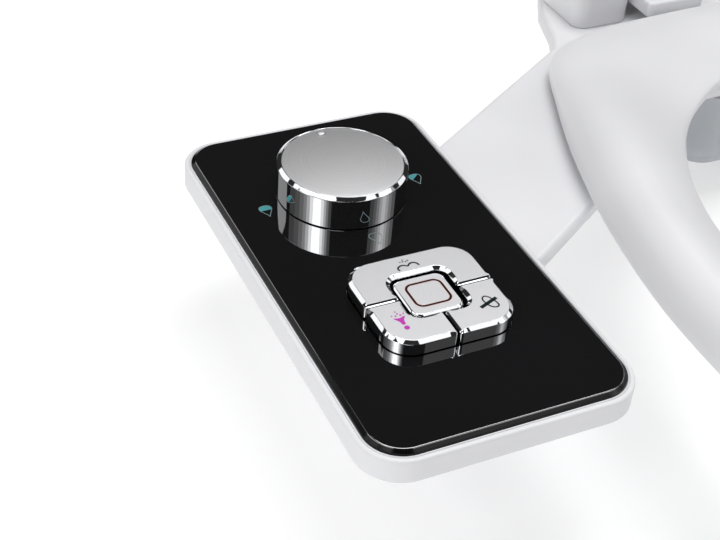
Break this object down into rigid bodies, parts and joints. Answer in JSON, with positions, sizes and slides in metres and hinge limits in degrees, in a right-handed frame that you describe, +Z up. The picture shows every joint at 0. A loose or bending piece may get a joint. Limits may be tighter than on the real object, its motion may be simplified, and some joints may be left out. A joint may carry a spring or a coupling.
{
  "type": "electric bidet seat",
  "caption": "Heated toilet seat ring hinged to a slim base plate with a twin nozzle unit and a side control panel with a glass top, a flow knob and push keys on a flat arm.",
  "frame": {"origin": "midway between the two seat bolts, on the flat underside of the base plate", "axes": "+X to the sitting person's left (the panel is at -X), +Y to the back of the bowl, +Z up"},
  "size_m": [0.499, 0.49, 0.09],
  "materials": {
    "white_abs": "glossy moulded",
    "grey_plastic": "matte moulded",
    "clear_plastic": "frosted clear",
    "grey_cable": "matte",
    "black_plastic": "matte",
    "black_glass": "back-painted tempered glass",
    "chrome": "mirror",
    "satin_chrome": "satin with a mirror edge",
    "steel": "satin",
    "brass": "satin",
    "grey_rubber": "matte",
    "board_green": "satin",
    "heater_film": "satin"
  },
  "bodies": {
    "base": {"base_shell": "white_abs", "base_bottom_cover": "white_abs", "base_screw_1": "steel", "base_screw_2": "steel", "grip_pad": "grey_rubber", "link_plate": "steel", "rear_wash_tube": "clear_plastic", "front_wash_tube": "clear_plastic", "ribbon_cable": "grey_cable", "panel_housing": "white_abs", "panel_bottom_cover": "white_abs", "panel_screw_1": "steel", "panel_screw_2": "steel", "panel_screw_3": "steel", "panel_screw_4": "steel", "water_inlet_port": "white_abs", "inlet_filter": "steel", "power_gland": "black_plastic", "glass_gasket": "black_plastic", "glass_top": "black_glass", "flow_valve_body": "white_abs", "key_guide_plate": "black_plastic", "circuit_board": "board_green", "switch_sheet": "grey_plastic", "nozzle_housing": "white_abs", "nozzle_cradle": "grey_plastic", "solenoid_valve_left": "brass", "solenoid_valve_right": "brass", "hinge_foot_left": "white_abs", "hinge_foot_right": "white_abs", "hinge_pin_left": "steel", "hinge_pin_right": "steel", "seat_bolt_left": "grey_plastic", "seat_bolt_right": "grey_plastic", "bolt_cone_left": "grey_rubber", "bolt_cone_right": "grey_rubber", "wing_nut_left": "grey_plastic", "wing_nut_right": "grey_plastic"},
    "knob": {"knob_shell": "chrome", "knob_top_disc": "satin_chrome", "knob_pointer": "chrome", "valve_shaft": "black_plastic"},
    "rear_wash_key": {"rear_wash_key": "satin_chrome"},
    "front_wash_key": {"front_wash_key": "satin_chrome"},
    "clean_key": {"clean_key": "satin_chrome"},
    "stop_key": {"stop_key": "satin_chrome"},
    "rear_nozzle": {"nozzle_rear_tube": "white_abs", "nozzle_rear_tip": "grey_plastic"},
    "front_nozzle": {"nozzle_front_tube": "white_abs", "nozzle_front_tip": "grey_plastic"},
    "guard": {"nozzle_guard": "clear_plastic"},
    "seat": {"seat_ring_top": "white_abs", "seat_ring_base": "grey_plastic", "seat_heater": "heater_film", "seat_bumper_1": "grey_rubber", "seat_bumper_2": "grey_rubber", "seat_bumper_3": "grey_rubber", "seat_bumper_4": "grey_rubber", "hinge_barrel_left": "white_abs", "hinge_barrel_right": "white_abs"}
  },
  "joints": [
    {"name": "knob_turn", "type": "hinge", "parent": "base", "child": "knob", "pos_m": [-0.2628, -0.1058, 0.01], "axis": [0, 0, 1], "range_deg": [-90, 180]},
    {"name": "rear_wash_key_press", "type": "slide", "parent": "base", "child": "rear_wash_key", "axis": [0, 0, -1], "range_m": [0, 0.0015], "stiffness_N_per_m": 500, "springref_m": -0.002},
    {"name": "front_wash_key_press", "type": "slide", "parent": "base", "child": "front_wash_key", "axis": [0, 0, -1], "range_m": [0, 0.0015], "stiffness_N_per_m": 500, "springref_m": -0.002},
    {"name": "clean_key_press", "type": "slide", "parent": "base", "child": "clean_key", "axis": [0, 0, -1], "range_m": [0, 0.0015], "stiffness_N_per_m": 500, "springref_m": -0.002},
    {"name": "stop_key_press", "type": "slide", "parent": "base", "child": "stop_key", "axis": [0, 0, -1], "range_m": [0, 0.0015], "stiffness_N_per_m": 500, "springref_m": -0.002},
    {"name": "seat_lift", "type": "hinge", "parent": "base", "child": "seat", "pos_m": [0, 0.004, 0.022], "axis": [-1, 0, 0], "range_deg": [0, 95]},
    {"name": "rear_nozzle_extend", "type": "slide", "parent": "base", "child": "rear_nozzle", "axis": [0, -0.6428, -0.766], "range_m": [0, 0.026], "stiffness_N_per_m": 20, "springref_m": -0.02},
    {"name": "front_nozzle_extend", "type": "slide", "parent": "base", "child": "front_nozzle", "axis": [0, -0.6428, -0.766], "range_m": [0, 0.026], "stiffness_N_per_m": 20, "springref_m": -0.02},
    {"name": "guard_swing", "type": "hinge", "parent": "base", "child": "guard", "pos_m": [0, -0.0808, -0.003], "axis": [-1, 0, 0], "range_deg": [0, 70]}
  ]
}
